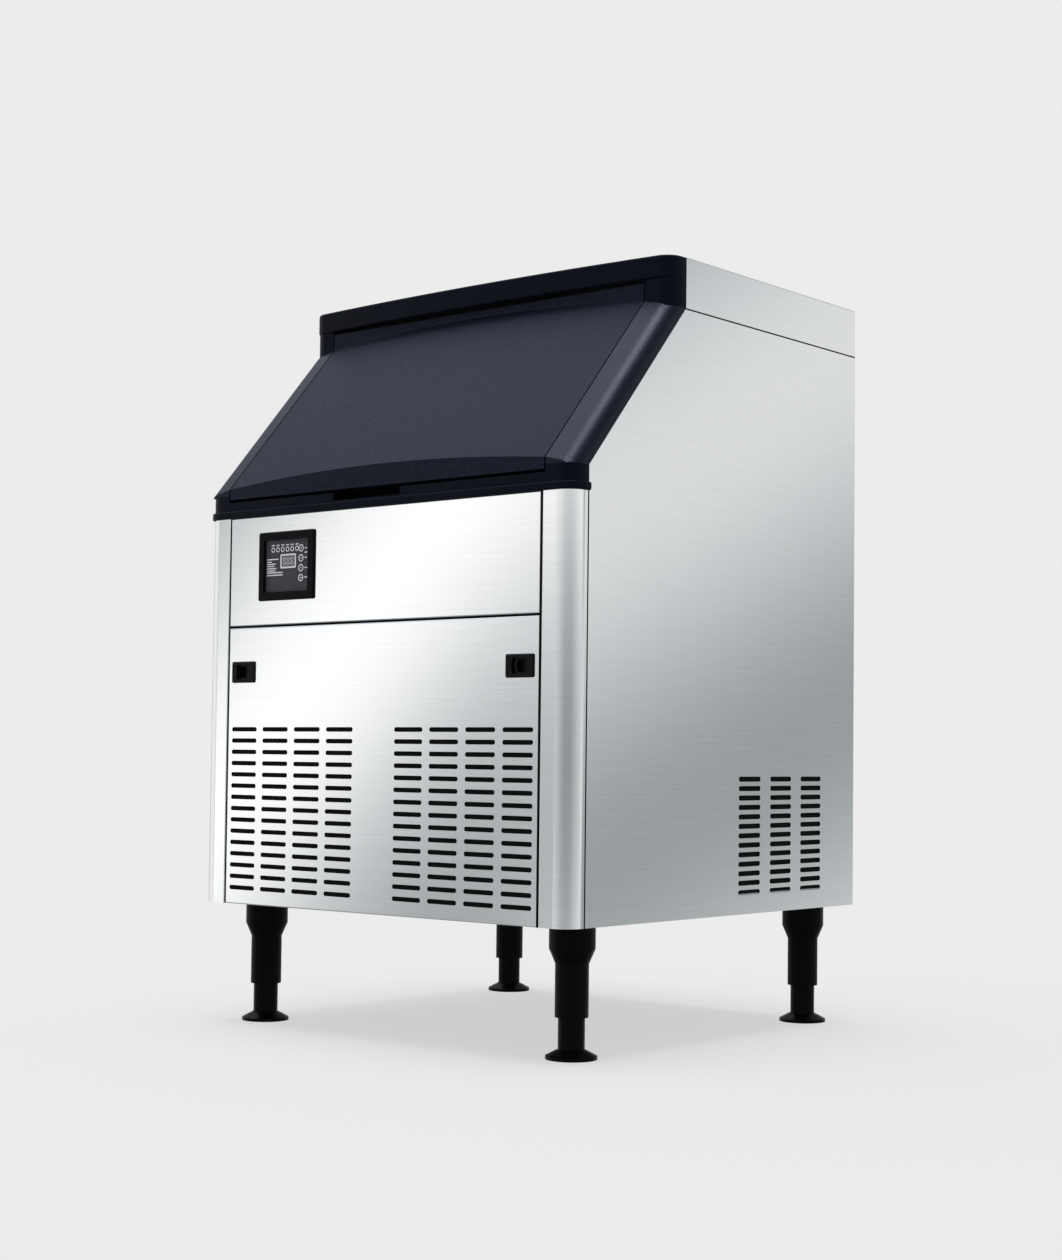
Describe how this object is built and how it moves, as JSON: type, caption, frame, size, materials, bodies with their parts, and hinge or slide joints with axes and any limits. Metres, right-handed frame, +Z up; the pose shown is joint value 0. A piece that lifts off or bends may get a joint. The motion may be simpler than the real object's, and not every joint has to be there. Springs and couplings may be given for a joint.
{
  "type": "cube ice machine",
  "caption": "Undercounter cube ice machine with a stainless cabinet on legs, a sloping lift-up bin door in a dark frame, vented front, control panel and a freezing plate over its bin.",
  "frame": {"origin": "on the floor under the middle of the machine's overall box", "axes": "+Z up, -Y out of the front, +X to the right seen from the front"},
  "size_m": [0.645, 0.6586, 0.992],
  "materials": {
    "stainless": "fine brushed stainless sheet",
    "galvanised": "zinc-coated sheet",
    "frame_black": "satin black moulding",
    "door_charcoal": "fine-grained charcoal moulding",
    "liner_white": "smooth pale food-grade plastic",
    "foam": "open foam",
    "gasket": "matt rubber",
    "tinned": "tinned copper",
    "copper": "bare copper tube",
    "curtain": "translucent pale plastic",
    "pump": "dark plastic",
    "hose": "pale flexible hose",
    "valve": "white plastic valve",
    "shell_black": "black enamel",
    "fins": "plain fins",
    "bezel": "gloss black rim",
    "face": "dark warm grey face",
    "board": "circuit board",
    "display": "dark display window",
    "button": "dark button caps",
    "latch": "black moulding",
    "leg": "black moulding",
    "zinc": "zinc plated"
  },
  "bodies": {
    "cabinet": {"left_side_panel": "stainless", "right_side_panel": "stainless", "rear_panel": "stainless", "top_cover": "stainless", "left_front_column": "stainless", "right_front_column": "stainless", "upper_front_panel": "stainless", "lower_front_panel": "stainless", "base_pan": "galvanised", "fan_shroud": "galvanised", "electrical_box": "galvanised", "frame_sill": "frame_black", "frame_left_rail": "frame_black", "frame_right_rail": "frame_black", "frame_header": "frame_black", "bin_liner": "liner_white", "water_trough": "liner_white", "evaporator_bracket": "liner_white", "water_distributor": "liner_white", "bin_insulation": "foam", "top_insulation": "foam", "compressor_mounts": "gasket", "evaporator_plate": "tinned", "evaporator_coil": "copper", "discharge_line": "copper", "liquid_line": "copper", "suction_line": "copper", "filter_drier": "copper", "water_pump": "pump", "hot_gas_valve": "pump", "cord_gland": "pump", "pump_hose": "hose", "fill_tube": "hose", "bin_drain": "hose", "water_inlet_valve": "valve", "compressor": "shell_black", "fan_motor": "shell_black", "condenser": "fins", "control_bezel": "bezel", "control_face": "face", "control_board": "board", "display_module": "display", "latch_housings": "latch", "leg_sleeves": "leg", "cabinet_fasteners": "zinc"},
    "bin_door": {"bin_door": "door_charcoal", "bin_door_inner_panel": "liner_white", "bin_door_gasket": "gasket"},
    "water_curtain": {"water_curtain": "curtain"},
    "fan_blade": {"fan_blade": "fins"},
    "left_latch_slide": {"left_latch_slide": "latch"},
    "right_latch_slide": {"right_latch_slide": "latch"},
    "control_button_1": {"control_button_1": "button"},
    "control_button_2": {"control_button_2": "button"},
    "control_button_3": {"control_button_3": "button"},
    "control_button_4": {"control_button_4": "button"},
    "front_left_foot": {"front_left_foot": "leg"},
    "front_right_foot": {"front_right_foot": "leg"},
    "rear_left_foot": {"rear_left_foot": "leg"},
    "rear_right_foot": {"rear_right_foot": "leg"}
  },
  "joints": [
    {"name": "bin_door_hinge", "type": "hinge", "parent": "cabinet", "child": "bin_door", "pos_m": [0, -0.12675, 0.941], "axis": [-1, 0, 0], "range_deg": [0, 75]},
    {"name": "water_curtain_hinge", "type": "hinge", "parent": "cabinet", "child": "water_curtain", "pos_m": [0, 0.13725, 0.9062], "axis": [-1, 0, 0], "range_deg": [0, 40]},
    {"name": "fan_spin", "type": "hinge", "parent": "cabinet", "child": "fan_blade", "pos_m": [0.13, -0.22675, 0.28425], "axis": [0, 1, 0], "continuous": true},
    {"name": "control_button_1_press", "type": "slide", "parent": "cabinet", "child": "control_button_1", "axis": [0, 1, 0], "range_m": [0, 0.001], "stiffness_N_per_m": 400, "springref_m": -0.001},
    {"name": "control_button_2_press", "type": "slide", "parent": "cabinet", "child": "control_button_2", "axis": [0, 1, 0], "range_m": [0, 0.001], "stiffness_N_per_m": 400, "springref_m": -0.001},
    {"name": "control_button_3_press", "type": "slide", "parent": "cabinet", "child": "control_button_3", "axis": [0, 1, 0], "range_m": [0, 0.001], "stiffness_N_per_m": 400, "springref_m": -0.001},
    {"name": "control_button_4_press", "type": "slide", "parent": "cabinet", "child": "control_button_4", "axis": [0, 1, 0], "range_m": [0, 0.001], "stiffness_N_per_m": 400, "springref_m": -0.001},
    {"name": "left_latch_draw", "type": "slide", "parent": "cabinet", "child": "left_latch_slide", "axis": [1, 0, 0], "range_m": [0, 0.008], "stiffness_N_per_m": 250, "springref_m": -0.008},
    {"name": "right_latch_draw", "type": "slide", "parent": "cabinet", "child": "right_latch_slide", "axis": [-1, 0, 0], "range_m": [0, 0.008], "stiffness_N_per_m": 250, "springref_m": -0.008},
    {"name": "front_left_foot_level", "type": "slide", "parent": "cabinet", "child": "front_left_foot", "axis": [0, 0, -1], "range_m": [0, 0.025]},
    {"name": "front_right_foot_level", "type": "slide", "parent": "cabinet", "child": "front_right_foot", "axis": [0, 0, -1], "range_m": [0, 0.025]},
    {"name": "rear_left_foot_level", "type": "slide", "parent": "cabinet", "child": "rear_left_foot", "axis": [0, 0, -1], "range_m": [0, 0.025]},
    {"name": "rear_right_foot_level", "type": "slide", "parent": "cabinet", "child": "rear_right_foot", "axis": [0, 0, -1], "range_m": [0, 0.025]}
  ]
}
